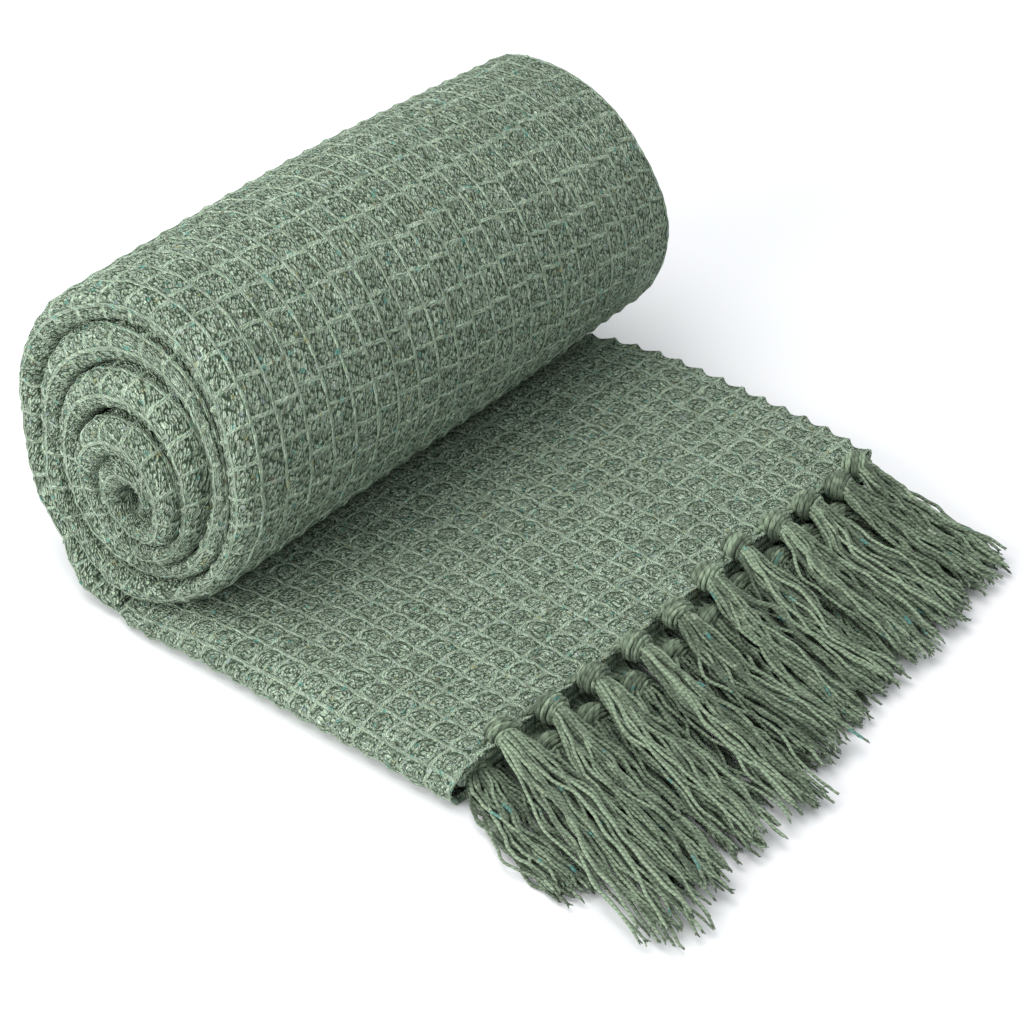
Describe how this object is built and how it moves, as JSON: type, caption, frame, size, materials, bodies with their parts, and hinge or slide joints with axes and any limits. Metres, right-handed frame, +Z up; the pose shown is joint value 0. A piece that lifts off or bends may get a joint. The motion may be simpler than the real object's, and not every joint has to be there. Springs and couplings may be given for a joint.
{
  "type": "rolled waffle weave cotton blanket",
  "caption": "Waffle weave cotton blanket folded lengthwise and rolled up, its loose end lying flat and ending in a knotted tassel fringe in two rows.",
  "frame": {"origin": "middle of the underside of the whole blanket's box, on the surface it rests on", "axes": "+Z up, +X along the loose end towards the fringe, +Y along the roll away from the end with the folded edges"},
  "size_m": [0.4762, 0.3952, 0.1814],
  "materials": {
    "waffle_cloth": "matt waffle weave of soft recycled cotton, sage green with small coloured flecks",
    "fringe_yarn": "matt two-ply twisted cotton yarn, sage green with small coloured flecks"
  },
  "bodies": {
    "root": {"blanket_roll": "waffle_cloth", "blanket_loose_end": "waffle_cloth", "fringe_upper": "fringe_yarn", "fringe_lower": "fringe_yarn"}
  },
  "joints": []
}
